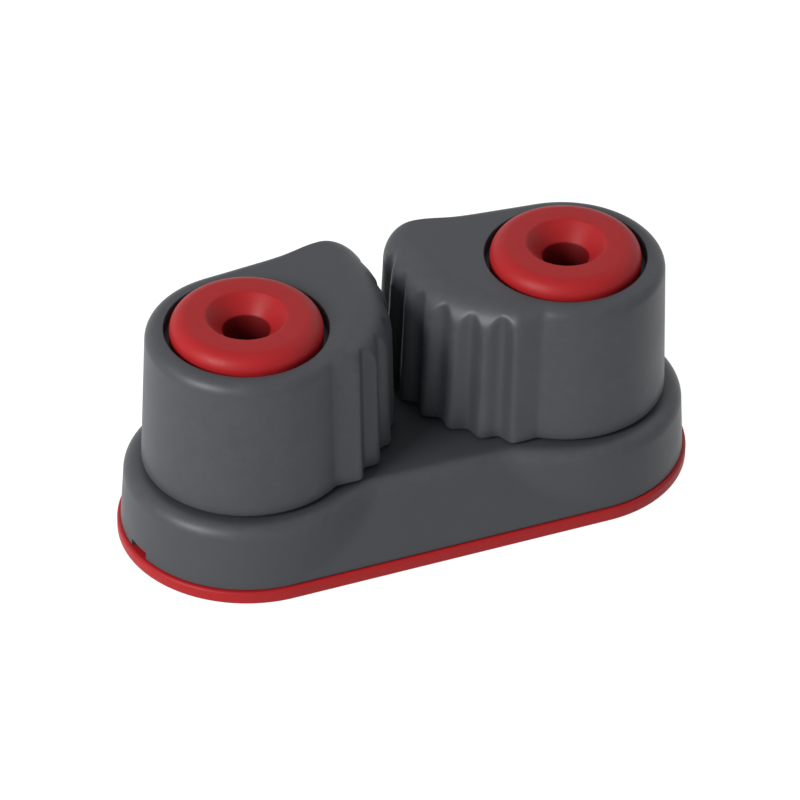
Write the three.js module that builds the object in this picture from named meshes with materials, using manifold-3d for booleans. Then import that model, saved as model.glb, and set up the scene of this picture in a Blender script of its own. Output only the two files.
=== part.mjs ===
// Cam cleat: two sprung, toothed cams on ball bearings, on a base with a backing plate.
//
// Millimetres, +Z up. The origin is the middle of the plate's underside, on the deck.
// +X runs to the right-hand pivot, the rope enters from -Y and its free tail leaves at +Y.
// Every piece of the left half is built about its own pivot; the right half is its mirror image.

import * as THREE from 'three';
import { ParametricGeometry } from 'three/addons/geometries/ParametricGeometry.js';
import { mergeVertices } from 'three/addons/utils/BufferGeometryUtils.js';
import Module from 'manifold-3d';

const wasm = await Module();
wasm.setup();

// ---- Driving dimensions ------------------------------------------------------------------

// Screws and pivots
const SCREW_SPACING = 38;        // between the two pivots, and the two fixing screws
const SCREW_HOLE_RADIUS = 2.6;   // clears a 5 mm screw
const SCREW_HEAD_RADIUS = 4.5;   // countersink at the top of each post
const PLATE_HOLE_RADIUS = 2.75;

// Clearances
const SEAT_GAP = 0.3;            // between pieces that locate or stop each other
const CAM_FLOAT = 0.4;           // between a cam and the top of the base
const BALL_GAP = 0.08;           // between a ball and the cam's race
const SLOT_GAP = 0.36;           // between a spring's leg and the sides of its slot

// Backing plate
const PLATE_RADIUS = 14.5;
const PLATE_THICKNESS = 1.6;
const PLATE_CHAMFER = 0.3;
const PEG_RADIUS = 1.6;
const PEG_HEIGHT = 3.2;
const PEG_OFFSET = 7.2;          // from the middle of the plate, fore and aft

// Base
const BASE_HEIGHT = 8;           // from the plate up to the flat top
const FOOT_RADIUS = 14.1;        // of the round ends, where they meet the plate
const BASE_DRAFT = THREE.MathUtils.degToRad(3.5);
const BASE_EDGE_RADIUS = 1.8;
const WAIST_HALF_WIDTH = 9.6;    // of the flat top between the pivots
const WAIST_EDGE_RADIUS = 1.4;
const WAIST_FOOT_STEP = 0.7;     // upright lip under each ramp
const WEB_THICKNESS = 2.2;
const BOSS_RADIUS = 7.4;         // round each post, hanging inside the base
const POCKET_RADIUS = 11.5;      // of the spring's chamber
const CORE_WIDTH = 11;           // hollow between the chambers
const CORE_LENGTH = 8.4;
const NOTCH_WIDTH = 3;           // for prising the plate off
const NOTCH_HEIGHT = 1;
const NOTCH_DEPTH = 1.5;
const NOTCH_OFFSET = -2.5;

// Cams, as seen on the left cam with its pivot at the origin
const CAM_HEIGHT = 17.2;
const HUB_RADIUS = 11.7;
const CAM_DRAFT = THREE.MathUtils.degToRad(2);
const FACE_CENTRE = new THREE.Vector2(0.9, 5.9);
const FACE_RADIUS = 17.8;
const HEEL_ANGLE = THREE.MathUtils.degToRad(-59.7);   // first tooth, about the face's centre
const HUB_END_ANGLE = THREE.MathUtils.degToRad(-53.8);
const BACK_ANGLE = THREE.MathUtils.degToRad(94.5);     // direction square to the straight back
const NOSE_RADIUS = 3.2;
const TOOTH_COUNT = 6;
const TOOTH_DEPTH = 0.9;
const HUB_EDGE_RADIUS = 1.5;     // of the top edge, as are the next three
const FACE_EDGE_RADIUS = 4.4;
const NOSE_EDGE_RADIUS = 3.6;    // where the nose leaves the face
const BACK_EDGE_RADIUS = 1;      // where the nose meets the back
const FACE_EDGE_GROWS = [-0.25, 0.35];   // shares of the way along the face
const FACE_EDGE_SHRINKS = [0.75, 1];
const BACK_TURNS = [0, 0.6];             // shares of the way along the back
const CAM_BOTTOM_CHAMFER = 0.3;

// Bearings
const BALL_RADIUS = 1.5;
const BALL_PITCH_RADIUS = 6.5;
const BALLS_PER_ROW = 12;
const BALL_ROW_HEIGHTS = { lower: 14, upper: 22 };
const GROOVE_CLEARANCE = 0.1;
const SHAFT_RADIUS = 6.2;

// Posts
const FLANGE_RADIUS = 8.45;
const FLANGE_THICKNESS = 3.2;
const FLANGE_EDGE_RADIUS = 1.9;
const FLANGE_PROUD = 1.6;        // of the cam's top
const FLANGE_SIDE_GAP = 0.6;
const SLEEVE_RADIUS = 4.2;       // through the base's boss
const LIP_RADIUS = 4.75;         // snap lip at the sleeve's foot
const LIP_HEIGHT = 0.7;

// Springs
const WIRE_RADIUS = 0.45;
const SPRING_RADIUS = 9.6;       // mean radius of the coil, and of its leg's path
const SPRING_TURNS = 2.75;
const SPRING_PITCH = 1.2;
const LEG_ANGLE = 0;             // where the upper leg stands with the cam closed
const CAM_TRAVEL = THREE.MathUtils.degToRad(55);
const LEG_DEPTH = 3;             // into the cam
const BEND_RADIUS = 0.9;
const HOOK_LENGTH = 2.6;         // outwards, into the base's wall

// Facets
const ROUND_SIDES = 40;
const SHAFT_SIDES = 32;
const SMALL_SIDES = 20;
const WIRE_SIDES = 8;
const COIL_STEPS = 18;           // in each turn of a spring
const LEG_POINTS = 3;
const LEG_STEPS = 12;
const LEG_HOLE_SIDES = 16;
const TOOTH_STEPS = 8;
const NOSE_STEPS = 6;
const BACK_STEPS = 10;
const HUB_STEPS = 32;
const EDGE_STEPS = 4;
const GROOVE_STEPS = 5;
const OVERCUT = 1;               // how far a cutter runs past the face it opens

// ---- Heights worked out from them --------------------------------------------------------

const PIVOT_X = SCREW_SPACING / 2;
const BASE_TOP = PLATE_THICKNESS + BASE_HEIGHT;
const WEB_UNDERSIDE = BASE_TOP - WEB_THICKNESS;
const CAM_BOTTOM = BASE_TOP + CAM_FLOAT;
const CAM_TOP = CAM_BOTTOM + CAM_HEIGHT;
const POST_TOP = CAM_TOP + FLANGE_PROUD;
const FLANGE_UNDERSIDE = POST_TOP - FLANGE_THICKNESS;
const SLEEVE_FOOT = PLATE_THICKNESS + SEAT_GAP;
const OUTER_RACE_RADIUS = BALL_PITCH_RADIUS + BALL_RADIUS + BALL_GAP;
const GROOVE_RADIUS = BALL_RADIUS + GROOVE_CLEARANCE;
const COIL_START = PLATE_THICKNESS + SEAT_GAP + WIRE_RADIUS;
const COIL_END = COIL_START + SPRING_TURNS * SPRING_PITCH;

// ---- Materials ---------------------------------------------------------------------------

const finish = (color, roughness, metalness) =>
  new THREE.MeshStandardMaterial({ color, roughness, metalness });

const castGrey = () => finish(0x55585c, 0.5, 0.1);
const camGrey = () => finish(0x5b5e62, 0.45, 0.2);
const redPlastic = () => finish(0xa83a3c, 0.45, 0);
const stainless = () => finish(0xb9bcc0, 0.3, 1);
const ballPlastic = () => finish(0xe8e4da, 0.35, 0);

// ---- Solids ------------------------------------------------------------------------------

// A closed geometry, reduced to its shared corners, as a solid that can be cut and joined.
function solidOf(geometry) {
  const bare = new THREE.BufferGeometry();
  bare.setAttribute('position', geometry.getAttribute('position'));
  bare.setIndex(geometry.getIndex());
  const merged = mergeVertices(bare, 1e-4);
  const corners = merged.getIndex().array;
  const triangles = [];
  for (let i = 0; i < corners.length; i += 3) {
    const [a, b, c] = corners.slice(i, i + 3);
    if (a !== b && b !== c && c !== a) triangles.push(a, b, c);
  }
  const vertProperties = Float32Array.from(merged.getAttribute('position').array);
  const triVerts = Uint32Array.from(triangles);
  return new wasm.Manifold(new wasm.Mesh({ numProp: 3, vertProperties, triVerts }));
}

// A named mesh from a solid.
function meshOf(name, solid, material) {
  const { vertProperties, triVerts } = solid.getMesh();
  const geometry = new THREE.BufferGeometry();
  geometry.setAttribute('position', new THREE.Float32BufferAttribute(vertProperties, 3));
  geometry.setIndex([...triVerts]);
  geometry.computeVertexNormals();
  const mesh = new THREE.Mesh(geometry, material);
  mesh.name = name;
  return mesh;
}

// A solid turned about the Z axis through the origin; its profile is [radius, height] pairs.
function turned(profile, sides = ROUND_SIDES) {
  const points = profile.map(([radius, height]) => new THREE.Vector2(radius, height));
  const geometry = new THREE.LatheGeometry(points, sides);
  geometry.rotateX(Math.PI / 2);
  return solidOf(geometry);
}

// A round bar from one height to another.
function bar(radius, low, high, sides = ROUND_SIDES) {
  return turned([[0, low], [radius, low], [radius, high], [0, high]], sides);
}

// A ring from one height to another.
function ring(inner, outer, low, high) {
  return turned([[inner, low], [outer, low], [outer, high], [inner, high], [inner, low]]);
}

// A block with its middle at (x, y), from one height to another.
function block(width, length, low, high, x = 0, y = 0) {
  const geometry = new THREE.BoxGeometry(width, length, high - low);
  geometry.translate(x, y, (low + high) / 2);
  return solidOf(geometry);
}

// An arc from one direction to another, as points about a centre.
function arcPoints(x, y, radius, from, to, steps) {
  return Array.from({ length: steps + 1 }, (_, i) => {
    const angle = from + (to - from) * i / steps;
    return [x + radius * Math.cos(angle), y + radius * Math.sin(angle)];
  });
}

// The long outline with two round ends that the plate and base share.
function racetrack(radius) {
  const shape = new THREE.Shape();
  shape.absarc(PIVOT_X, 0, radius, -Math.PI / 2, Math.PI / 2, false);
  shape.absarc(-PIVOT_X, 0, radius, Math.PI / 2, Math.PI * 3 / 2, false);
  return shape;
}

// The same solid at each pivot: as it is on the left, mirrored on the right.
function atBothPivots(solid) {
  const left = solid.translate([-PIVOT_X, 0, 0]);
  return left.add(left.mirror([1, 0, 0]));
}

// ---- Backing plate -----------------------------------------------------------------------

function backingPlate() {
  const sheet = new THREE.ExtrudeGeometry(racetrack(PLATE_RADIUS), {
    depth: PLATE_THICKNESS - 2 * PLATE_CHAMFER,
    bevelThickness: PLATE_CHAMFER,
    bevelSize: PLATE_CHAMFER,
    bevelOffset: -PLATE_CHAMFER,
    bevelSegments: 1,
    curveSegments: ROUND_SIDES / 2,
  });
  sheet.translate(0, 0, PLATE_CHAMFER);
  const screwHole = bar(PLATE_HOLE_RADIUS, -OVERCUT, PLATE_THICKNESS + OVERCUT, SMALL_SIDES);
  const peg = turned([
    [0, PLATE_THICKNESS / 2],
    [PEG_RADIUS, PLATE_THICKNESS / 2],
    [PEG_RADIUS, PLATE_THICKNESS + PEG_HEIGHT - PLATE_CHAMFER],
    [PEG_RADIUS - PLATE_CHAMFER, PLATE_THICKNESS + PEG_HEIGHT],
    [0, PLATE_THICKNESS + PEG_HEIGHT],
  ], SMALL_SIDES);
  return solidOf(sheet)
    .add(peg.translate([0, PEG_OFFSET, 0]))
    .add(peg.translate([0, -PEG_OFFSET, 0]))
    .subtract(atBothPivots(screwHole));
}

// ---- Base --------------------------------------------------------------------------------

// A drafted round end with a rounded top edge, about its pivot.
function collar() {
  const rise = BASE_HEIGHT - BASE_EDGE_RADIUS;
  const shoulder = FOOT_RADIUS - rise * Math.tan(BASE_DRAFT);
  const centre = shoulder - BASE_EDGE_RADIUS;
  return turned([
    [0, PLATE_THICKNESS],
    [FOOT_RADIUS, PLATE_THICKNESS],
    ...arcPoints(centre, PLATE_THICKNESS + rise, BASE_EDGE_RADIUS, 0, Math.PI / 2, EDGE_STEPS),
    [0, BASE_TOP],
  ]);
}

// The bar between the round ends, whose long sides slope in to the narrower flat top.
function waist() {
  const foot = FOOT_RADIUS;
  const lip = PLATE_THICKNESS + WAIST_FOOT_STEP;
  const run = foot - WAIST_HALF_WIDTH;
  const slope = Math.atan2(run, BASE_TOP - lip);
  const tangent = WAIST_EDGE_RADIUS * Math.tan((Math.PI / 2 - slope) / 2);
  const edge = arcPoints(
    WAIST_HALF_WIDTH - tangent, BASE_TOP - WAIST_EDGE_RADIUS,
    WAIST_EDGE_RADIUS, slope, Math.PI / 2, EDGE_STEPS,
  );
  const half = [[foot, PLATE_THICKNESS], [foot, lip], ...edge];
  const section = [...half, ...half.map(([y, z]) => [-y, z]).reverse()];
  const shape = new THREE.Shape(section.map(([y, z]) => new THREE.Vector2(y, z)));
  const geometry = new THREE.ExtrudeGeometry(shape, { depth: SCREW_SPACING, bevelEnabled: false });
  geometry.translate(0, 0, -PIVOT_X);
  geometry.rotateX(Math.PI / 2);
  geometry.rotateZ(Math.PI / 2);
  return solidOf(geometry);
}

// The curved slot that lets the spring's leg follow the cam.
function legSlot() {
  const halfWidth = WIRE_RADIUS + SLOT_GAP;
  const spare = (halfWidth + SEAT_GAP) / SPRING_RADIUS;
  const from = LEG_ANGLE - spare;
  const to = LEG_ANGLE + CAM_TRAVEL + spare;
  const shape = new THREE.Shape();
  shape.absarc(0, 0, SPRING_RADIUS + halfWidth, from, to, false);
  shape.absarc(0, 0, SPRING_RADIUS - halfWidth, to, from, true);
  const geometry = new THREE.ExtrudeGeometry(shape, {
    depth: WEB_THICKNESS + 2 * OVERCUT,
    bevelEnabled: false,
    curveSegments: SMALL_SIDES / 2,
  });
  geometry.translate(0, 0, WEB_UNDERSIDE - OVERCUT);
  return solidOf(geometry);
}

// Everything cut out of the base about one pivot.
function pivotCuts() {
  const below = PLATE_THICKNESS - OVERCUT;
  const lipSpace = LIP_HEIGHT + 2 * SEAT_GAP;
  const bore = bar(SLEEVE_RADIUS + SEAT_GAP, below, BASE_TOP + OVERCUT);
  const lipRecess = bar(LIP_RADIUS + SEAT_GAP, below, PLATE_THICKNESS + lipSpace);
  const chamber = ring(BOSS_RADIUS, POCKET_RADIUS, below, WEB_UNDERSIDE);
  const hookAngle = LEG_ANGLE - SPRING_TURNS * 2 * Math.PI;
  const hookReach = SPRING_RADIUS + HOOK_LENGTH + SEAT_GAP;
  const hookWidth = 2 * (WIRE_RADIUS + SEAT_GAP);
  const hookTop = COIL_START + WIRE_RADIUS + SEAT_GAP;
  const hookMiddle = (hookReach + SPRING_RADIUS) / 2;
  const hookNotch = block(hookReach - SPRING_RADIUS, hookWidth, below, hookTop, hookMiddle)
    .rotate([0, 0, THREE.MathUtils.radToDeg(hookAngle)]);
  return bore.add(lipRecess).add(chamber).add(legSlot()).add(hookNotch);
}

function base() {
  const below = PLATE_THICKNESS - OVERCUT;
  const core = block(CORE_WIDTH, CORE_LENGTH, below, WEB_UNDERSIDE);
  const socket = bar(
    PEG_RADIUS + SEAT_GAP, below, PLATE_THICKNESS + PEG_HEIGHT + SEAT_GAP, SMALL_SIDES,
  );
  const endX = -PIVOT_X - FOOT_RADIUS;
  const notch = block(
    NOTCH_DEPTH + OVERCUT, NOTCH_WIDTH, below, PLATE_THICKNESS + NOTCH_HEIGHT,
    endX + (NOTCH_DEPTH - OVERCUT) / 2, NOTCH_OFFSET,
  );
  return atBothPivots(collar())
    .add(waist())
    .subtract(atBothPivots(pivotCuts()))
    .subtract(core)
    .subtract(socket.translate([0, PEG_OFFSET, 0]))
    .subtract(socket.translate([0, -PEG_OFFSET, 0]))
    .subtract(notch);
}

// ---- Cams --------------------------------------------------------------------------------

// Where the nose's round sits: touching both the straight back and the face's arc.
function noseCentre() {
  const square = new THREE.Vector2(Math.cos(BACK_ANGLE), Math.sin(BACK_ANGLE));
  const along = new THREE.Vector2(square.y, -square.x);
  const out = HUB_RADIUS - NOSE_RADIUS - square.dot(FACE_CENTRE);
  const reach = Math.sqrt((FACE_RADIUS - NOSE_RADIUS) ** 2 - out ** 2);
  return FACE_CENTRE.clone().addScaledVector(square, out).addScaledVector(along, reach);
}

// The radius of the top edge over the teeth, which grows away from the heel and shrinks again
// towards the nose.
function faceEdge(along) {
  const { lerp, smoothstep } = THREE.MathUtils;
  const grown = lerp(HUB_EDGE_RADIUS, FACE_EDGE_RADIUS, smoothstep(along, ...FACE_EDGE_GROWS));
  return lerp(grown, NOSE_EDGE_RADIUS, smoothstep(along, ...FACE_EDGE_SHRINKS));
}

// Points round the cam's foot, anticlockwise from the heel: the toothed face, the nose, the
// straight back and the hub. Each holds its place, the direction that faces out, the depth of
// the groove there and the radius of the top edge. The nose faces out from the face's centre, so
// that the rounded edge runs on over it, and the back turns from there to its own direction.
function camOutline() {
  const { lerp, smoothstep } = THREE.MathUtils;
  const hub = new THREE.Vector2(0, 0);
  const nose = noseCentre();
  const faceEnd = Math.atan2(nose.y - FACE_CENTRE.y, nose.x - FACE_CENTRE.x);
  const hubEnd = HUB_END_ANGLE + 2 * Math.PI;
  const outline = [];
  const add = (centre, radius, angle, groove, edge) => {
    const x = centre.x + radius * Math.cos(angle);
    const y = centre.y + radius * Math.sin(angle);
    outline.push({ x, y, out: angle, groove, edge });
  };
  for (let i = 0; i <= TOOTH_COUNT * TOOTH_STEPS; i += 1) {
    const along = i / (TOOTH_COUNT * TOOTH_STEPS);
    const depth = TOOTH_DEPTH * (1 - Math.cos(2 * Math.PI * i / TOOTH_STEPS)) / 2;
    add(FACE_CENTRE, FACE_RADIUS, lerp(HEEL_ANGLE, faceEnd, along), depth, faceEdge(along));
  }
  for (let i = 1; i <= NOSE_STEPS; i += 1) {
    const along = i / NOSE_STEPS;
    const edge = lerp(NOSE_EDGE_RADIUS, BACK_EDGE_RADIUS, smoothstep(along, 0, 1));
    add(nose, NOSE_RADIUS, lerp(faceEnd, BACK_ANGLE, along), 0, edge);
    const point = outline.at(-1);
    point.out = Math.atan2(point.y - FACE_CENTRE.y, point.x - FACE_CENTRE.x);
  }
  const tip = outline.at(-1);
  for (let i = 1; i < BACK_STEPS; i += 1) {
    const along = i / BACK_STEPS;
    outline.push({
      x: lerp(tip.x, HUB_RADIUS * Math.cos(BACK_ANGLE), along),
      y: lerp(tip.y, HUB_RADIUS * Math.sin(BACK_ANGLE), along),
      out: lerp(tip.out, BACK_ANGLE, smoothstep(along, ...BACK_TURNS)),
      groove: 0,
      edge: lerp(BACK_EDGE_RADIUS, HUB_EDGE_RADIUS, along),
    });
  }
  for (let i = 0; i <= HUB_STEPS; i += 1) {
    add(hub, HUB_RADIUS, lerp(BACK_ANGLE, hubEnd, i / HUB_STEPS), 0, HUB_EDGE_RADIUS);
  }
  return outline;
}

// A cam's section at one point of its outline, from foot to top, as pairs of how far a level
// stands in from the outline and its height. A groove is cut straight up until the rounded edge
// has drawn further back than the groove is deep.
function camSection({ groove, edge }) {
  const foot = [
    [groove + CAM_BOTTOM_CHAMFER, CAM_BOTTOM],
    [groove, CAM_BOTTOM + CAM_BOTTOM_CHAMFER],
  ];
  const top = arcPoints(-edge, CAM_TOP - edge, edge, 0, Math.PI / 2, EDGE_STEPS)
    .map(([x, height]) => [Math.max(-x, groove), height]);
  const drafted = ([inset, height]) => [inset + (height - CAM_BOTTOM) * Math.tan(CAM_DRAFT), height];
  return [...foot, ...top].map(drafted);
}

// The cam's skin: its section carried round the outline and closed in to the pivot at both ends.
function camSkin() {
  const outline = camOutline();
  const sections = outline.map(camSection);
  const rows = sections[0].length + 1;
  const skin = (u, v, target) => {
    const row = Math.round(v * rows);
    if (row === 0) return target.set(0, 0, CAM_BOTTOM);
    if (row === rows) return target.set(0, 0, CAM_TOP);
    const column = Math.round(u * outline.length) % outline.length;
    const { x, y, out } = outline[column];
    const [inset, height] = sections[column][row - 1];
    return target.set(x - inset * Math.cos(out), y - inset * Math.sin(out), height);
  };
  return solidOf(new ParametricGeometry(skin, outline.length, rows));
}

function cam() {
  const shoulder = FLANGE_UNDERSIDE - SEAT_GAP;
  const race = bar(OUTER_RACE_RADIUS, CAM_BOTTOM - OVERCUT, CAM_TOP + OVERCUT, SHAFT_SIDES);
  const recess = bar(FLANGE_RADIUS + FLANGE_SIDE_GAP, shoulder, CAM_TOP + OVERCUT);
  const holeTop = CAM_BOTTOM + LEG_DEPTH + SEAT_GAP;
  const legHole = bar(WIRE_RADIUS + SEAT_GAP, CAM_BOTTOM - OVERCUT, holeTop, LEG_HOLE_SIDES)
    .translate([SPRING_RADIUS * Math.cos(LEG_ANGLE), SPRING_RADIUS * Math.sin(LEG_ANGLE), 0]);
  return camSkin().subtract(race).subtract(recess).subtract(legHole);
}

// ---- Posts -------------------------------------------------------------------------------

// One ball groove in the side of the shaft, as a stretch of its profile.
function groove(height) {
  const side = SHAFT_RADIUS - BALL_PITCH_RADIUS;
  const end = Math.acos(side / GROOVE_RADIUS);
  return arcPoints(BALL_PITCH_RADIUS, height, GROOVE_RADIUS, -end, -2 * Math.PI + end, GROOVE_STEPS);
}

function post() {
  const sinkDepth = SCREW_HEAD_RADIUS - SCREW_HOLE_RADIUS;
  const edgeCentre = FLANGE_RADIUS - FLANGE_EDGE_RADIUS;
  const edgeHeight = POST_TOP - FLANGE_EDGE_RADIUS;
  return turned([
    [SCREW_HOLE_RADIUS, SLEEVE_FOOT],
    [LIP_RADIUS - SEAT_GAP, SLEEVE_FOOT],
    [LIP_RADIUS, SLEEVE_FOOT + LIP_HEIGHT],
    [SLEEVE_RADIUS, SLEEVE_FOOT + LIP_HEIGHT],
    [SLEEVE_RADIUS, BASE_TOP],
    [SHAFT_RADIUS, BASE_TOP],
    ...groove(BALL_ROW_HEIGHTS.lower),
    ...groove(BALL_ROW_HEIGHTS.upper),
    [SHAFT_RADIUS, FLANGE_UNDERSIDE],
    [FLANGE_RADIUS, FLANGE_UNDERSIDE],
    ...arcPoints(edgeCentre, edgeHeight, FLANGE_EDGE_RADIUS, 0, Math.PI / 2, EDGE_STEPS),
    [SCREW_HEAD_RADIUS, POST_TOP],
    [SCREW_HOLE_RADIUS, POST_TOP - sinkDepth],
    [SCREW_HOLE_RADIUS, SLEEVE_FOOT],
  ], SHAFT_SIDES);
}

// ---- Springs -----------------------------------------------------------------------------

// The wire's centre line: a hook out into the base, the coil, and a leg up into the cam.
function wirePath() {
  const startAngle = LEG_ANGLE - SPRING_TURNS * 2 * Math.PI;
  const polar = (radius, angle, height) => new THREE.Vector3(
    radius * Math.cos(angle), radius * Math.sin(angle), height,
  );
  const bend = BEND_RADIUS / SPRING_RADIUS;   // as an angle about the pivot
  const cut = BEND_RADIUS / 3;                // from a bend's corner to the wire's middle
  const points = [
    polar(SPRING_RADIUS + HOOK_LENGTH, startAngle, COIL_START),
    polar(SPRING_RADIUS + HOOK_LENGTH / 2, startAngle, COIL_START),
    polar(SPRING_RADIUS + cut, startAngle + cut / SPRING_RADIUS, COIL_START),
  ];
  const coilSteps = Math.round(SPRING_TURNS * COIL_STEPS);
  for (let i = 0; i <= coilSteps; i += 1) {
    const along = i / coilSteps;
    const angle = THREE.MathUtils.lerp(startAngle + bend, LEG_ANGLE - bend, along);
    points.push(polar(SPRING_RADIUS, angle, THREE.MathUtils.lerp(COIL_START, COIL_END, along)));
  }
  points.push(polar(SPRING_RADIUS, LEG_ANGLE - cut / SPRING_RADIUS, COIL_END + cut));
  for (let i = 1; i <= LEG_POINTS; i += 1) {
    const height = THREE.MathUtils.lerp(COIL_END, CAM_BOTTOM + LEG_DEPTH, i / LEG_POINTS);
    points.push(polar(SPRING_RADIUS, LEG_ANGLE, height));
  }
  return new THREE.CatmullRomCurve3(points, false, 'centripetal');
}

function spring() {
  const section = new THREE.Shape();
  section.absarc(0, 0, WIRE_RADIUS, 0, 2 * Math.PI, false);
  return solidOf(new THREE.ExtrudeGeometry(section, {
    extrudePath: wirePath(),
    steps: Math.round(SPRING_TURNS * COIL_STEPS) + LEG_STEPS,
    curveSegments: WIRE_SIDES / 2,
    bevelEnabled: false,
  }));
}

// ---- Assembly ----------------------------------------------------------------------------

const group = new THREE.Group();

// Adds a piece that each side has, built about the left pivot.
function addPair(name, solid, material) {
  const left = solid.translate([-PIVOT_X, 0, 0]);
  group.add(meshOf(`left_${name}`, left, material()));
  group.add(meshOf(`right_${name}`, left.mirror([1, 0, 0]), material()));
}

// Adds one row of bearing balls about each post.
function addBallRow(row, height) {
  const ball = solidOf(new THREE.IcosahedronGeometry(BALL_RADIUS, 1));
  for (let i = 0; i < BALLS_PER_ROW; i += 1) {
    const angle = (i + 0.5) / BALLS_PER_ROW * 2 * Math.PI;
    const place = [BALL_PITCH_RADIUS * Math.cos(angle), BALL_PITCH_RADIUS * Math.sin(angle), height];
    addPair(`ball_${row}_${String(i + 1).padStart(2, '0')}`, ball.translate(place), ballPlastic);
  }
}

group.add(meshOf('bottom_plate', backingPlate(), redPlastic()));
group.add(meshOf('base', base(), castGrey()));
addPair('cam', cam(), camGrey);
addPair('post', post(), redPlastic);
addPair('spring', spring(), stainless);
for (const [row, height] of Object.entries(BALL_ROW_HEIGHTS)) addBallRow(row, height);

export default group;
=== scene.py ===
"""A cam cleat's looks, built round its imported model.

Each piece is a surface worked out on a grid with numpy, finished with procedural materials. Sizes
that other pieces share are read from the frame, and the rest are properties with a name and a unit.
"""

import math

import bmesh
import bpy
import numpy as np
from bpy.props import FloatProperty, FloatVectorProperty, IntProperty, PointerProperty
from mathutils import Matrix, Vector


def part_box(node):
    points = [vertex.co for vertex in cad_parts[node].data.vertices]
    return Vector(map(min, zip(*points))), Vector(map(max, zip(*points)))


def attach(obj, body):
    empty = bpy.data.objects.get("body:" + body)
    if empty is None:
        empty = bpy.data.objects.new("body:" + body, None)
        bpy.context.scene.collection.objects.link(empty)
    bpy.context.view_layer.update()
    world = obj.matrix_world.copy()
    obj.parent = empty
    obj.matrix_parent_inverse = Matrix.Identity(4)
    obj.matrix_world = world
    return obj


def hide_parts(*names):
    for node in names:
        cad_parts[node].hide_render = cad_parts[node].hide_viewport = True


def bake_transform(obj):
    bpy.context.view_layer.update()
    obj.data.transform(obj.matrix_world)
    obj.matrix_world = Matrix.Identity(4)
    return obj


bl_info = {
    "name": "Cam Cleat",
    "version": (1, 0, 0),
    "blender": (4, 5, 0),
    "location": "View3D > Sidebar > Cleat",
    "description": "Builds a ball-bearing cam cleat with its finishes and a plain studio",
    "category": "Object",
}

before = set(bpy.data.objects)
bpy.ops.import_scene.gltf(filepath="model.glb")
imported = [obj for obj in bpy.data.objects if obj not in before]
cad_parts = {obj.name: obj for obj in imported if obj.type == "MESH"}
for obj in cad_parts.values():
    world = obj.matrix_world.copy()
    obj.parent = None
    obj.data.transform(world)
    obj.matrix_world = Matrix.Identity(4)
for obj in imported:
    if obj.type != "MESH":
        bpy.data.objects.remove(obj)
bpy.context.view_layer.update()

SIDES = ("left", "right")
ROWS = ("lower", "upper")
MM = 0.001


def box_of(node):
    """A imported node's lowest and highest corners, as numpy arrays in metres."""
    low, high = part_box(node)
    return np.array(low), np.array(high)


BASE_LOW, BASE_HIGH = box_of("base")
PLATE_LOW, PLATE_HIGH = box_of("bottom_plate")
CAM_LOW, CAM_HIGH = box_of("left_cam")
POST_LOW, POST_HIGH = box_of("right_post")
PIVOT_X = float(POST_LOW[0] + POST_HIGH[0]) / 2


# ---- Sizes and colours that a user would change -------------------------------------------


def length(name, description, default):
    """A size in metres."""
    return FloatProperty(
        name=name, description=description, default=float(default), unit="LENGTH", precision=5
    )


def angle(name, description, degrees):
    """An angle, given in degrees and kept in radians."""
    return FloatProperty(
        name=name, description=description, default=math.radians(degrees), unit="ROTATION"
    )


def colour(name, description, default):
    """A colour as linear red, green and blue."""
    return FloatVectorProperty(
        name=name, description=description, default=default, size=3, subtype="COLOR", min=0, max=1
    )


class CleatCamSizes(bpy.types.PropertyGroup):
    hub_radius: length("Hub radius", "Round part of the cam at its foot", 11.7 * MM)
    draft: angle("Draft", "Lean of the cam's sides", 2)
    face_x: length("Face centre X", "Centre of the toothed arc, towards the other cam", 0.9 * MM)
    face_y: length("Face centre Y", "Centre of the toothed arc, towards the nose", 5.9 * MM)
    face_radius: length("Face radius", "Toothed arc, over the teeth", 17.8 * MM)
    heel_angle: angle("Heel angle", "First tooth, about the face's centre", -59.7)
    hub_end_angle: angle("Hub end", "Where the hub meets the heel, about the pivot", -53.8)
    back_angle: angle("Back angle", "Direction square to the straight back", 94.5)
    nose_radius: length("Nose radius", "Round between the back and the toothed face", 3.2 * MM)
    tooth_count: IntProperty(name="Teeth", description="Grooves across the face", default=6, min=3)
    tooth_depth: length("Tooth depth", "Groove between two teeth", 0.9 * MM)
    hub_edge: length("Hub edge", "Radius of the top edge on the hub", 1.5 * MM)
    face_edge: length("Face edge", "Radius of the top edge over the teeth", 4.4 * MM)
    nose_edge: length("Nose edge", "Radius of the top edge where the nose leaves the face", 3.6 * MM)
    back_edge: length("Back edge", "Radius of the top edge where the nose meets the back", 1.0 * MM)
    foot_chamfer: length("Foot chamfer", "Broken edge under the cam", 0.3 * MM)
    race_radius: length("Race radius", "Bore that the balls run in", 8.08 * MM)
    recess_radius: length("Recess radius", "Bore round the post's flange", 9.05 * MM)
    recess_depth: length("Recess depth", "From the cam's top down to the shoulder", 1.9 * MM)
    leg_hole_radius: length("Leg hole radius", "Hole for the spring's leg", 0.75 * MM)
    leg_hole_depth: length("Leg hole depth", "Depth of that hole", 3.3 * MM)


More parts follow.
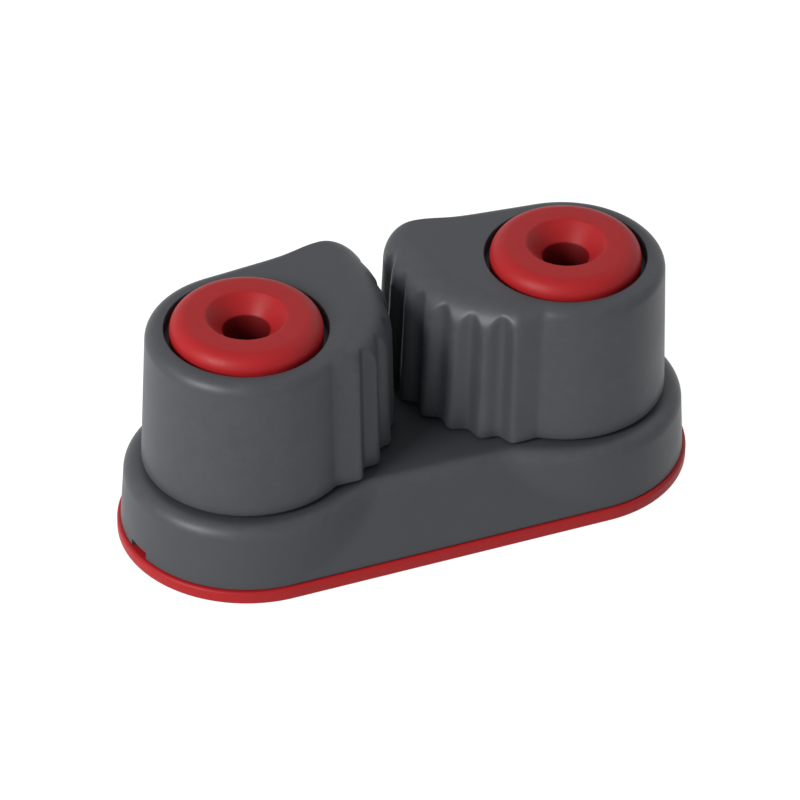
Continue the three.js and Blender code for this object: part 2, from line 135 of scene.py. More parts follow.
class CleatBaseSizes(bpy.types.PropertyGroup):
    draft: angle("Draft", "Lean of the round ends", 3.5)
    collar_edge: length("Collar edge", "Radius of the top edge of the round ends", 1.8 * MM)
    waist_half_width: length("Waist", "Half the width of the flat top between the pivots", 9.6 * MM)
    waist_edge: length("Waist edge", "Radius of the top edge of the waist", 1.6 * MM)
    waist_lip: length("Waist lip", "Upright lip under each ramp", 0.7 * MM)
    blend: length("Blend", "How softly the ramps run into the round ends", 6 * MM)
    foot_chamfer: length("Foot chamfer", "Broken edge at the foot", 0.2 * MM)
    web: length("Web", "Thickness of the top over the chambers", 2.2 * MM)
    boss_radius: length("Boss radius", "Outside of the boss round each post", 7.4 * MM)
    chamber_radius: length("Chamber radius", "Outside of each spring chamber", 11.5 * MM)
    core_width: length("Core width", "Hollow between the chambers, across", 11 * MM)
    core_length: length("Core length", "Hollow between the chambers, fore and aft", 8.4 * MM)
    notch_width: length("Notch width", "Prising notch in the foot", 3 * MM)
    notch_height: length("Notch height", "Prising notch in the foot", 1 * MM)
    notch_depth: length("Notch depth", "Prising notch in the foot", 1.5 * MM)
    notch_offset: length("Notch offset", "Middle of the notch, fore and aft", -2.5 * MM)


class CleatPlateSizes(bpy.types.PropertyGroup):
    edge: length("Edge", "Radius of the plate's edges", 0.35 * MM)
    hole_radius: length("Hole radius", "Screw holes", 2.75 * MM)
    peg_radius: length("Peg radius", "Pegs that hold the base", 1.6 * MM)
    peg_offset: length("Peg offset", "Each peg from the middle", 7.2 * MM)


class CleatPostSizes(bpy.types.PropertyGroup):
    hole_radius: length("Hole radius", "Screw hole", 2.6 * MM)
    sink_radius: length("Countersink radius", "At the top", 4.5 * MM)
    rim_round: length("Countersink rim", "Soft edge of the countersink", 0.35 * MM)
    flange_edge: length("Flange edge", "Radius of the flange's top edge", 1.9 * MM)
    flange_thickness: length("Flange thickness", "From its shoulder to the top", 3.2 * MM)
    shaft_radius: length("Shaft radius", "Between the ball grooves", 6.2 * MM)
    groove_radius: length("Groove radius", "Of each ball groove's section", 1.6 * MM)
    sleeve_radius: length("Sleeve radius", "Through the base", 4.2 * MM)
    lip_radius: length("Lip radius", "Snap lip at the foot", 4.75 * MM)
    lip_height: length("Lip height", "Snap lip at the foot", 0.7 * MM)


class CleatBearingSizes(bpy.types.PropertyGroup):
    spring_radius: length("Spring radius", "Mean radius of the coil", 9.6 * MM)
    wire_radius: length("Wire radius", "Of the spring", 0.45 * MM)
    spring_pitch: length("Spring pitch", "Rise in each turn", 1.2 * MM)
    spring_turns: FloatProperty(name="Spring turns", description="Turns of the coil", default=2.75)
    hook_length: length("Hook", "Lower end, out into the base's wall", 2.6 * MM)
    travel: angle("Travel", "How far a cam opens", 55)


class CleatFinishes(bpy.types.PropertyGroup):
    cam: colour("Cam", "Hard-anodised cam", (0.052, 0.055, 0.062))
    base: colour("Base", "Hard-anodised base", (0.052, 0.055, 0.062))
    red: colour("Red plastic", "Posts and plate", (0.33, 0.012, 0.014))
    steel: colour("Spring steel", "Drawn wire", (0.55, 0.55, 0.56))
    ball: colour("Balls", "Bearing polymer", (0.78, 0.75, 0.68))
    floor: colour("Floor", "Plain pale ground", (0.9, 0.9, 0.9))


# ---- Surfaces ----------------------------------------------------------------------------


def grid_faces(rows, columns, wrap_rows=False, wrap_columns=True):
    """Quads joining each point of a rows x columns grid to its neighbours along and across."""
    r = np.arange(rows if wrap_rows else rows - 1)
    c = np.arange(columns if wrap_columns else columns - 1)
    r, c = (a.ravel() for a in np.meshgrid(r, c, indexing="ij"))
    below, beside = (r + 1) % rows, (c + 1) % columns
    here, next_row = r * columns, below * columns
    return np.stack([here + c, here + beside, next_row + beside, next_row + c], 1)


def mesh_from_grid(name, points, wrap_rows=False, edge=None):
    """A closed mesh from a grid of points shaped (rows, columns, 3), whose columns close on each
    other. Rows that shrink to a point or a line are welded shut. edge is a mask on the same grid."""
    rows, columns = points.shape[:2]
    faces = grid_faces(rows, columns, wrap_rows)
    mesh = bpy.data.meshes.new(name)
    mesh.from_pydata([], [], [])
    mesh.vertices.add(rows * columns)
    mesh.vertices.foreach_set("co", points.astype(np.float32).ravel())
    mesh.loops.add(faces.size)
    mesh.loops.foreach_set("vertex_index", faces.astype(np.int32).ravel())
    mesh.polygons.add(len(faces))
    mesh.polygons.foreach_set("loop_start", np.arange(0, faces.size, 4, dtype=np.int32))
    mesh.update(calc_edges=True)
    mask = mesh.attributes.new("edge", "FLOAT", "POINT")
    values = np.broadcast_to(0.0 if edge is None else edge, (rows, columns)).ravel()
    mask.data.foreach_set("value", values.astype(np.float32))
    mesh.validate()
    return mesh


def close_and_face_out(mesh, sharp_degrees=40):
    """Welds shut poles and seams, turns every face outwards and marks the hard edges."""
    work = bmesh.new()
    work.from_mesh(mesh)
    bmesh.ops.remove_doubles(work, verts=work.verts, dist=1e-7)
    bmesh.ops.dissolve_degenerate(work, edges=work.edges, dist=1e-8)
    bmesh.ops.recalc_face_normals(work, faces=work.faces)
    work.to_mesh(mesh)
    work.free()
    mesh.polygons.foreach_set("use_smooth", np.ones(len(mesh.polygons), bool))
    mesh.set_sharp_from_angle(angle=math.radians(sharp_degrees))
    mesh.update()


def new_piece(name, mesh, material):
    """An object at the origin that holds the mesh and its finish."""
    piece = bpy.data.objects.new(name, mesh)
    bpy.context.scene.collection.objects.link(piece)
    mesh.materials.clear()
    mesh.materials.append(material)
    return piece


def cut_or_join(piece, tools, operation="DIFFERENCE"):
    """Cuts the tool meshes out of the piece, or joins them on, and leaves a plain mesh."""
    made = []
    for number, mesh in enumerate(tools):
        close_and_face_out(mesh)
        tool = bpy.data.objects.new(f"{piece.name}_tool_{number}", mesh)
        bpy.context.scene.collection.objects.link(tool)
        modifier = piece.modifiers.new(f"tool_{number}", "BOOLEAN")
        modifier.operation = operation
        modifier.solver = "EXACT"
        modifier.object = tool
        made.append(tool)
    bpy.context.view_layer.update()
    evaluated = piece.evaluated_get(bpy.context.evaluated_depsgraph_get())
    mesh = bpy.data.meshes.new_from_object(evaluated)
    piece.modifiers.clear()
    old = piece.data
    mesh.name = old.name
    piece.data = mesh
    bpy.data.meshes.remove(old)
    for tool in made:
        bpy.data.meshes.remove(tool.data)


def seat(piece, body, node):
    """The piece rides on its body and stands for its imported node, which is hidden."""
    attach(piece, body)
    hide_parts(node)


def mirrored(points, side):
    """Points built about the left pivot, carried to it or to its mirror image on the right."""
    moved = points + np.array([-PIVOT_X, 0, 0])
    return moved if side == "left" else moved * np.array([-1, 1, 1])


def turned(profile, sides=128):
    """Radius and height pairs carried round the Z axis: x = r cos a, y = r sin a, z = h."""
    profile = np.asarray(profile, float)
    turn = np.arange(sides) / sides * 2 * np.pi
    radius, height = profile[:, :1], profile[:, 1:]
    heights = np.broadcast_to(height, (len(profile), sides))
    return np.stack([radius * np.cos(turn), radius * np.sin(turn), heights], 2)


def drill(radius, low, high, sides):
    """A plain round cutter that stands on the Z axis."""
    return turned([(0, low), (radius, low), (radius, high), (0, high)], sides)


def arc(x, y, radius, start, end, steps):
    """Points on a circle about (x, y) from one angle, in degrees, to another."""
    turn = np.radians(np.linspace(start, end, steps + 1))
    return np.stack([x + radius * np.cos(turn), y + radius * np.sin(turn)], 1)


def path_of(*parts):
    """Single points and arcs strung together into one profile."""
    return np.concatenate([np.atleast_2d(p) for p in parts])


def smooth_max(a, b, width):
    """The larger of a and b, with a parabola across the crossing where they differ by under width."""
    width = np.maximum(width, 1e-9)
    near = np.maximum(width - np.abs(a - b), 0)
    return np.maximum(a, b) + near**2 / (4 * width)


def smoothstep(x, low, high):
    """0 below low, 1 above high, and an even slope between."""
    t = np.clip((x - low) / (high - low), 0, 1)
    return t * t * (3 - 2 * t)


def soften(values, reach):
    """A closed row of values, averaged with its neighbours by a bell curve that many steps wide."""
    offsets = np.arange(-3 * reach, 3 * reach + 1)
    weights = np.exp(-0.5 * (offsets / reach) ** 2)
    weights /= weights.sum()
    return sum(w * np.roll(values, -int(o)) for o, w in zip(offsets, weights))


def level(outline, height):
    """A plan outline as points at one height."""
    return np.c_[outline, np.full(len(outline), height)]


def block(low, high):
    """A plain cutter block as a grid: four upright edges, closed by collapsed rows."""
    (x0, y0, z0), (x1, y1, z1) = low, high
    ring = np.array([[x0, y0], [x1, y0], [x1, y1], [x0, y1]])
    middle = np.broadcast_to(ring.mean(0), ring.shape)
    return np.array([level(middle, z0), level(ring, z0), level(ring, z1), level(middle, z1)])


# ---- Materials ---------------------------------------------------------------------------


def socket(tree, name, way, kind="NodeSocketFloat", default=None):
    """Adds an input or output to a node group."""
    made = tree.interface.new_socket(name=name, in_out=way, socket_type=kind)
    if default is not None:
        made.default_value = default
    return made


def group_tree(name, inputs, outputs):
    """A shader node group with its input and output nodes."""
    tree = bpy.data.node_groups.new(name, "ShaderNodeTree")
    for label, kind, default in inputs:
        socket(tree, label, "INPUT", kind, default)
    for label, kind in outputs:
        socket(tree, label, "OUTPUT", kind)
    return tree, tree.nodes.new("NodeGroupInput"), tree.nodes.new("NodeGroupOutput")


def node(tree, kind, links=None, **values):
    """A node whose named or numbered inputs are given a value, or linked where links says."""
    made = tree.nodes.new(kind)
    for key, value in values.items():
        setattr(made, key, value)
    for key, value in (links or {}).items():
        if isinstance(value, bpy.types.NodeSocket):
            tree.links.new(value, made.inputs[key])
        else:
            made.inputs[key].default_value = value
    return made


def noise_at(tree, place, size, detail, roughness):
    """Noise in patches of about that size, in metres."""
    scale = node(tree, "ShaderNodeMath", {0: 1.0, 1: size}, operation="DIVIDE")
    return node(tree, "ShaderNodeTexNoise",
                {"Vector": place, "Scale": scale.outputs[0], "Detail": detail, "Roughness": roughness})


def grain_group():
    """Fine pits and a slow drift of shade. Height is the pits, Shade runs from 0 to 1 round 0.5."""
    tree, given, out = group_tree(
        "fine_grain",
        [("Pit Size", "NodeSocketFloat", 0.0002), ("Cloud Size", "NodeSocketFloat", 0.008)],
        [("Height", "NodeSocketFloat"), ("Shade", "NodeSocketFloat")],
    )
    place = node(tree, "ShaderNodeTexCoord")
    pits = noise_at(tree, place.outputs["Object"], given.outputs["Pit Size"], 3.0, 0.6)
    clouds = noise_at(tree, place.outputs["Object"], given.outputs["Cloud Size"], 4.0, 0.55)
    tree.links.new(pits.outputs["Fac"], out.inputs["Height"])
    tree.links.new(clouds.outputs["Fac"], out.inputs["Shade"])
    return tree


def wear_group():
    """Where an edge is rubbed: the piece's own edge mask, broken up by noise."""
    tree, given, out = group_tree(
        "edge_wear", [("Patch Size", "NodeSocketFloat", 0.002), ("Amount", "NodeSocketFloat", 0.5)],
        [("Mask", "NodeSocketFloat")],
    )
    place = node(tree, "ShaderNodeTexCoord")
    edge = node(tree, "ShaderNodeAttribute", attribute_name="edge")
    noise = noise_at(tree, place.outputs["Object"], given.outputs["Patch Size"], 5.0, 0.7)
    patch = node(tree, "ShaderNodeMapRange", {0: noise.outputs["Fac"], 1: 0.4, 2: 0.7, 3: 0.0, 4: 1.0})
    both = node(tree, "ShaderNodeMath", {0: patch.outputs[0], 1: edge.outputs["Fac"]},
                operation="MULTIPLY")
    mask = node(tree, "ShaderNodeMath", {0: both.outputs[0], 1: given.outputs["Amount"]},
                operation="MULTIPLY")
    tree.links.new(mask.outputs[0], out.inputs["Mask"])
    return tree


def marks_group():
    """Faint handling marks: long thin streaks, as a mask for roughness."""
    tree, given, out = group_tree(
        "handling_marks", [("Streak Size", "NodeSocketFloat", 0.0006)], [("Mask", "NodeSocketFloat")]
    )
    place = node(tree, "ShaderNodeTexCoord")
    stretch = node(tree, "ShaderNodeMapping",
                   {"Vector": place.outputs["Object"], "Scale": (1.0, 0.15, 0.4),
                    "Rotation": (0.3, 0.5, 0.9)})
    noise = noise_at(tree, stretch.outputs[0], given.outputs["Streak Size"], 2.0, 0.5)
    mask = node(tree, "ShaderNodeMapRange", {0: noise.outputs["Fac"], 1: 0.62, 2: 0.75, 3: 0.0, 4: 1.0})
    tree.links.new(mask.outputs[0], out.inputs["Mask"])
    return tree


def shared_group(name, build):
    """The node group of that name, built the first time it is asked for."""
    return bpy.data.node_groups.get(name) or build()


def use_group(tree, name, build, **values):
    """Places a shared group in a material with its own values."""
    made = tree.nodes.new("ShaderNodeGroup")
    made.node_tree = shared_group(name, build)
    for key, value in values.items():
        made.inputs[key.replace("_", " ")].default_value = value
    return made


def plain_material(name):
    """An empty material with a Principled BSDF, and its node tree."""
    material = bpy.data.materials.new(name)
    material.use_nodes = True
    return material, material.node_tree, material.node_tree.nodes["Principled BSDF"]


def mix(tree, share, first, second):
    """The colour that lies that share of the way from the first to the second."""
    made = node(tree, "ShaderNodeMix", {0: share, 6: first, 7: second}, data_type="RGBA")
    return made.outputs[2]


def finish_material(name, tint, look):
    """A solid finish. look gives the metallic and specular level, the range of roughness, the
    share that the shade drifts by, the pits' size and depth, and how much an edge is worn. The
    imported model's own materials are in the file too, so the name is never one of theirs."""
    known = bpy.data.materials.get(name)
    if known:
        return known
    material, tree, shader = plain_material(name)
    grain = use_group(tree, "fine_grain", grain_group, Pit_Size=look["pit"], Cloud_Size=look["cloud"])
    wear = use_group(tree, "edge_wear", wear_group, Patch_Size=WEAR_PATCH, Amount=look["wear"])
    marks = use_group(tree, "handling_marks", marks_group, Streak_Size=STREAK_WIDTH)
    tint = np.array(tint, float)
    dark, light = (tuple(np.clip(tint * (1 + s * look["drift"]), 0, 1)) + (1.0,) for s in (-1, 1))
    shade = mix(tree, grain.outputs["Shade"], dark, light)
    bare = tuple(np.clip(tint * look["bare"], 0, 1)) + (1.0,)
    worn = mix(tree, wear.outputs["Mask"], shade, bare)
    # Painted shade: where the mesh marks a screw hole's wall, the colour is darkened to stand in for the shade
    # down the hole.
    painted_hole_shade = node(tree, "ShaderNodeAttribute", attribute_name="painted_hole_shade")
    hole_in_shade_colour = tuple(tint * PAINTED_SHADE_IN_HOLE) + (1.0,)
    seen = mix(tree, painted_hole_shade.outputs["Fac"], worn, hole_in_shade_colour)
    low, high = look["roughness"]
    rough = node(tree, "ShaderNodeMapRange", {0: grain.outputs["Shade"], 1: 0.3, 2: 0.7, 3: low, 4: high})
    marked = node(tree, "ShaderNodeMath", {0: marks.outputs["Mask"], 1: -0.05, 2: rough.outputs[0]},
                  operation="MULTIPLY_ADD")
    bump = node(tree, "ShaderNodeBump", {"Strength": look["bump"], "Distance": look["pit"] * 0.3,
                                         "Height": grain.outputs["Height"]})
    tree.links.new(seen, shader.inputs["Base Color"])
    tree.links.new(marked.outputs[0], shader.inputs["Roughness"])
    tree.links.new(bump.outputs[0], shader.inputs["Normal"])
    shader.inputs["Metallic"].default_value = look["metallic"]
    shader.inputs["Specular IOR Level"].default_value = look["specular"]
    return material


PAINTED_SHADE_IN_HOLE = 0.22       # painted shade: how much of its colour a bore's wall keeps, darkened for the shade down the hole
WEAR_PATCH = 0.0015     # rubbed patches along an edge
STREAK_WIDTH = 0.0007   # handling marks
ANODISED = {"metallic": 0.15, "specular": 0.26, "roughness": (0.40, 0.48), "drift": 0.07, "pit": 0.00016,
            "cloud": 0.006, "bump": 0.25, "wear": 0.25, "bare": 1.6}
MOULDED_RED = {"metallic": 0.0, "specular": 0.18, "roughness": (0.42, 0.52), "drift": 0.06, "pit": 0.0003,
               "cloud": 0.005, "bump": 0.2, "wear": 0.3, "bare": 1.25}
DRAWN_WIRE = {"metallic": 1.0, "specular": 0.5, "roughness": (0.25, 0.4), "drift": 0.08, "pit": 0.0002,
              "cloud": 0.002, "bump": 0.1, "wear": 0.0, "bare": 1.0}
GROUND_BALL = {"metallic": 0.0, "specular": 0.5, "roughness": (0.28, 0.36), "drift": 0.03, "pit": 0.0002,
               "cloud": 0.002, "bump": 0.05, "wear": 0.0, "bare": 1.0}


def cam_finish():
    return finish_material("anodised_cam", bpy.context.scene.cleat_finishes.cam, ANODISED)


def base_finish():
    return finish_material("anodised_base", bpy.context.scene.cleat_finishes.base, ANODISED)


def red_finish():
    return finish_material("moulded_red", bpy.context.scene.cleat_finishes.red, MOULDED_RED)


def steel_finish():
    return finish_material("drawn_wire", bpy.context.scene.cleat_finishes.steel, DRAWN_WIRE)


def ball_finish():
    return finish_material("ground_ball", bpy.context.scene.cleat_finishes.ball, GROUND_BALL)


# ---- Cams --------------------------------------------------------------------------------


EDGE_GROWS = (-0.25, 0.35)   # along the toothed arc, where the top edge grows from the hub's radius
EDGE_SHRINKS = (0.75, 1)     # and where it shrinks to the nose's
BACK_TURNS = (0, 0.6)        # along the back, where it turns to face its own way
RECESS_RIM = 0.18 * MM


def cam_outline(s, steps=640):
    """The left cam's outline about its pivot, anticlockwise, as rows of x, y, the angle that faces
    out, the groove's depth and the top edge's radius. It strings together the toothed arc, the
    nose's round, the straight back, the hub's arc and the heel, then spaces the points evenly. The
    nose faces out from the face's centre, so that the rounded edge runs on over it."""
    face = np.array([s.face_x, s.face_y])
    square = np.array([math.cos(s.back_angle), math.sin(s.back_angle)])
    along_back = np.array([square[1], -square[0]])
    out = s.hub_radius - s.nose_radius - square @ face
    nose = face + out * square + math.sqrt((s.face_radius - s.nose_radius) ** 2 - out**2) * along_back
    face_end = math.atan2(*(nose - face)[::-1])
    t = np.linspace(0, 1, 481)
    edge = s.hub_edge + (s.face_edge - s.hub_edge) * smoothstep(t, *EDGE_GROWS)
    edge += (s.nose_edge - edge) * smoothstep(t, *EDGE_SHRINKS)
    a = s.heel_angle + (face_end - s.heel_angle) * t
    teeth = [face[0] + s.face_radius * np.cos(a), face[1] + s.face_radius * np.sin(a), a,
             s.tooth_depth * (0.5 - 0.5 * np.cos(2 * np.pi * s.tooth_count * t)), edge]
    t = np.linspace(0, 1, 60)[1:]
    a = face_end + (s.back_angle - face_end) * t
    x, y = nose[0] + s.nose_radius * np.cos(a), nose[1] + s.nose_radius * np.sin(a)
    tip = [x, y, np.arctan2(y - face[1], x - face[0]), 0 * t,
           s.nose_edge + (s.back_edge - s.nose_edge) * smoothstep(t, 0, 1)]
    back = [tip[0][-1] + (s.hub_radius * square[0] - tip[0][-1]) * t,
            tip[1][-1] + (s.hub_radius * square[1] - tip[1][-1]) * t,
            tip[2][-1] + (s.back_angle - tip[2][-1]) * smoothstep(t, *BACK_TURNS), 0 * t,
            s.back_edge + (s.hub_edge - s.back_edge) * t]
    hub_end = s.hub_end_angle + 2 * np.pi
    a = np.linspace(s.back_angle, hub_end, 300)[1:]
    hub = [s.hub_radius * np.cos(a), s.hub_radius * np.sin(a), a, 0 * a, s.hub_edge + 0 * a]
    t = np.linspace(0, 1, 40)[1:]
    heel = [hub[0][-1] + (teeth[0][0] - hub[0][-1]) * t, hub[1][-1] + (teeth[1][0] - hub[1][-1]) * t,
            hub_end + (s.heel_angle + 2 * np.pi - hub_end) * t, 0 * t,
            s.hub_edge + (edge[0] - s.hub_edge) * t]
    rows = np.array([np.concatenate(column) for column in zip(teeth, tip, back, hub, heel)])
    run = np.concatenate([[0], np.cumsum(np.hypot(*np.diff(rows[:2], axis=1)))])
    even = np.arange(steps) / steps * run[-1]
    x, y, a, groove, edge = (np.interp(even, run, row) for row in rows)
    turn = 2 * np.pi * even / run[-1]
    facing = soften(a - turn, 5) + turn
    return soften(x, 2), soften(y, 2), facing, soften(groove, 1), soften(edge, 12)


def cam_surface(s):
    """The left cam about its pivot, as a ring of rows that closes on itself. Outside, a point is
    the outline, drawn in along the way it faces by the draft and by the larger of the groove and
    the rounded top edge: edge (1 - cos p) in, at edge (1 - sin p) below the top. Inside, the rows
    are circles down the recess, its shoulder and the race."""
    x, y, facing, groove, edge = cam_outline(s)
    low, high = CAM_LOW[2], CAM_HIGH[2]
    bearing = np.arctan2(y, x)
    rows, mask = [], []

    def outside(height, inset, worn):
        inset = inset + (height - low) * math.tan(s.draft)
        rows.append(np.stack([x - inset * np.cos(facing), y - inset * np.sin(facing), height + 0 * x], 1))
        mask.append(np.broadcast_to(worn, x.shape))

    def inside(radius, height, worn=0.0):
        rows.append(np.stack([radius * np.cos(bearing), radius * np.sin(bearing), height + 0 * x], 1))
        mask.append(np.full(x.shape, worn))

    chamfer = s.foot_chamfer
    for p in np.radians(np.linspace(0, 90, 4)):
        outside(low + chamfer * (1 - math.cos(p)), groove + chamfer * (1 - math.sin(p)), 0.6)
    start = low + chamfer
    for t in np.linspace(0, 1, 14)[1:]:
        outside(start + (high - edge - start) * t, groove, 0.8 * smoothstep(-groove, -0.35 * s.tooth_depth, 0))
    for p in np.radians(np.linspace(0, 90, 33))[1:]:
        rounding = edge * (1 - math.cos(p))
        inset = smooth_max(rounding, groove, 0.35 * s.tooth_depth * (groove > 0))
        outside(high - edge * (1 - math.sin(p)), inset, math.sin(2 * p))
    last = rows[-1]
    rim = RECESS_RIM
    ring = (s.recess_radius + rim) * np.stack([np.cos(bearing), np.sin(bearing)], 1)
    for t in np.linspace(0, 1, 9)[1:-1]:
        rows.append(level(last[:, :2] + (ring - last[:, :2]) * t, high))
        mask.append(0 * x)
    for p in np.radians(np.linspace(0, 90, 7)):
        inside(s.recess_radius + rim * (1 - math.sin(p)), high - rim * (1 - math.cos(p)), 0.7)
    shoulder = high - s.recess_depth
    inside(s.recess_radius, (high + shoulder) / 2)
    inside(s.recess_radius, shoulder)
    inside((s.recess_radius + s.race_radius) / 2, shoulder)
    inside(s.race_radius + 0.2 * MM, shoulder)
    for height in np.linspace(shoulder - 0.2 * MM, low + 0.3 * MM, 5):
        inside(s.race_radius, height)
    inside(s.race_radius + 0.3 * MM, low)
    inner, outer = rows[-1], rows[0]
    for t in (0.3, 0.65):
        rows.append(inner + (outer - inner) * t)
        mask.append(0 * x)
    return np.array(rows), np.array(mask)


class CLEAT_OT_cams(bpy.types.Operator):
    """Build both cams with their teeth, rounded edges and races"""

    bl_idname = "cleat.cams"
    bl_label = "Cams"

    def execute(self, context):
        s = context.scene.cleat_cam
        points, worn = cam_surface(s)
        spring = context.scene.cleat_bearing
        low = CAM_LOW[2]
        hole = drill(s.leg_hole_radius, low - MM, low + s.leg_hole_depth, 32)
        hole = hole + np.array([spring.spring_radius, 0, 0])
        for side in SIDES:
            mesh = mesh_from_grid(f"{side}_cam_body", mirrored(points, side), True, worn)
            close_and_face_out(mesh)
            piece = new_piece(f"{side}_toothed_cam", mesh, cam_finish())
            cut_or_join(piece, [mesh_from_grid("leg_hole", mirrored(hole, side))])
            close_and_face_out(piece.data)
            seat(piece, f"{side}_cam", f"{side}_cam")
        return {"FINISHED"}


# ---- Base --------------------------------------------------------------------------------


def track(radius, half_width, blend, ends=96, straight=120):
    """A plan outline: round ends about the pivots and, between them, the softened larger of the
    round end's circle and a straight side at half_width."""
    a = np.linspace(-np.pi / 2, np.pi / 2, ends, endpoint=False)
    end = np.stack([PIVOT_X + radius * np.cos(a), radius * np.sin(a)], 1)
    x = PIVOT_X * np.cos(np.linspace(0, np.pi, straight, endpoint=False))
    reach = PIVOT_X - np.abs(x)
    circle = np.sqrt(np.maximum(radius**2 - reach**2, 0))
    side = np.stack([x, smooth_max(circle, half_width + 0 * x, min(blend, radius - half_width))], 1)
    half = np.concatenate([end, side])
    return np.concatenate([half, -half])


def on_spine(outline, share):
    """The outline drawn in towards the line through both pivots, to that share of its width."""
    return outline * np.array([1, share])


def base_surface(s):
    """The base's skin, in rows from the foot up. A round end's radius falls with its draft, and
    the waist's half width runs straight up the ramp; both end in a quarter-round top edge."""
    low, high, foot = BASE_LOW[2], BASE_HIGH[2], BASE_HIGH[1]
    shoulder = high - s.collar_edge
    end_radius = foot - (shoulder - low) * math.tan(s.draft)
    lip = low + s.waist_lip
    slope = math.atan2(foot - s.waist_half_width, high - lip)
    crown = s.waist_half_width - s.waist_edge * math.tan((math.pi / 2 - slope) / 2)
    turn_height = high - s.waist_edge * (1 - math.sin(slope))

    def waist(z):
        if z <= lip:
            return foot
        if z <= turn_height:
            return foot - (z - lip) * math.tan(slope)
        return crown + math.sqrt(max(s.waist_edge**2 - (z - high + s.waist_edge) ** 2, 0))

    def end(z):
        if z <= shoulder:
            return foot - (z - low) * math.tan(s.draft)
        return end_radius - s.collar_edge + math.sqrt(max(s.collar_edge**2 - (z - shoulder) ** 2, 0))

    rows, mask = [], []

    def add(outline, z, worn=0.0):
        rows.append(level(outline, z))
        mask.append(np.full(len(outline), worn))

    chamfer = s.foot_chamfer
    floor_line = track(foot - chamfer, waist(low) - chamfer, s.blend)
    for share in np.linspace(0, 1, 6):
        add(on_spine(floor_line, share), low)
    for z in np.concatenate([np.linspace(low + chamfer, lip, 3), np.linspace(lip, shoulder, 20)[1:]]):
        add(track(end(z), waist(z), s.blend), z, 0.4 * float(z < low + 2 * chamfer))
    for p in np.radians(np.linspace(0, 90, 17))[1:]:
        z = shoulder + s.collar_edge * math.sin(p)
        add(track(end(z), waist(z), s.blend), z, math.sin(2 * p))
    top_line = rows[-1][:, :2]
    for share in np.linspace(1, 0, 9)[1:]:
        add(on_spine(top_line, share), high)
    return np.array(rows), np.array(mask)


def leg_slot(radius, half_width, start, end, low, high, steps=24):
    """A curved slot's cutter: a block whose section follows an arc about the pivot."""
    a = np.linspace(start, end, steps)
    section = [(radius - half_width, low), (radius + half_width, low), (radius + half_width, high),
               (radius - half_width, high)]
    ring = np.array([[(r * np.cos(t), r * np.sin(t), z) for r, z in section] for t in a])
    caps = ring[[0, -1]].mean(1, keepdims=True) * np.ones((1, 4, 1))
    return np.concatenate([caps[:1], ring, caps[1:]])


class CLEAT_OT_base(bpy.types.Operator):
    """Build the base with its round ends, ramped waist, chambers and prising notch"""

    bl_idname = "cleat.base"
    bl_label = "Base"

    def execute(self, context):
        s, post = context.scene.cleat_base, context.scene.cleat_post
        spring, plate = context.scene.cleat_bearing, context.scene.cleat_plate
        low, high = BASE_LOW[2], BASE_HIGH[2]
        under, over, web = low - MM, high + MM, high - s.web
        gap = 0.3 * MM
        points, worn = base_surface(s)
        mesh = mesh_from_grid("base_body", points, False, worn)
        close_and_face_out(mesh)
        piece = new_piece("cleat_base", mesh, base_finish())
        lip, sleeve, step = post.lip_radius + gap, post.sleeve_radius + gap, low + 1.3 * MM
        bore = turned([(0, under), (lip, under), (lip, step), (sleeve, step), (sleeve, over), (0, over)], 96)
        chamber = turned([(s.boss_radius, under), (s.chamber_radius, under), (s.chamber_radius, web),
                          (s.boss_radius, web)], 96)
        half = spring.wire_radius + 1.2 * gap
        spare = (half + gap) / spring.spring_radius
        slot = leg_slot(spring.spring_radius, half, -spare, spring.travel + spare, web - 0.2 * MM, over)
        cutters = []
        for side in SIDES:
            cutters.append(mesh_from_grid("bore", mirrored(bore, side)))
            cutters.append(mesh_from_grid("chamber", mirrored(chamber, side), True))
            cutters.append(mesh_from_grid("slot", mirrored(slot, side)))
        core = np.array([s.core_width / 2, s.core_length / 2])
        cutters.append(mesh_from_grid("core", block((*-core, under), (*core, web))))
        peg_socket = drill(plate.peg_radius + gap, under, PLATE_HIGH[2] + gap, 40)
        for way in (-1, 1):
            moved = peg_socket + np.array([0, way * plate.peg_offset, 0])
            cutters.append(mesh_from_grid("socket", moved))
        notch_low = (BASE_LOW[0] - MM, s.notch_offset - s.notch_width / 2, under)
        notch_high = (BASE_LOW[0] + s.notch_depth, s.notch_offset + s.notch_width / 2, low + s.notch_height)
        cutters.append(mesh_from_grid("notch", block(notch_low, notch_high)))
        cut_or_join(piece, cutters)
        close_and_face_out(piece.data)
        seat(piece, "base", "base")
        return {"FINISHED"}


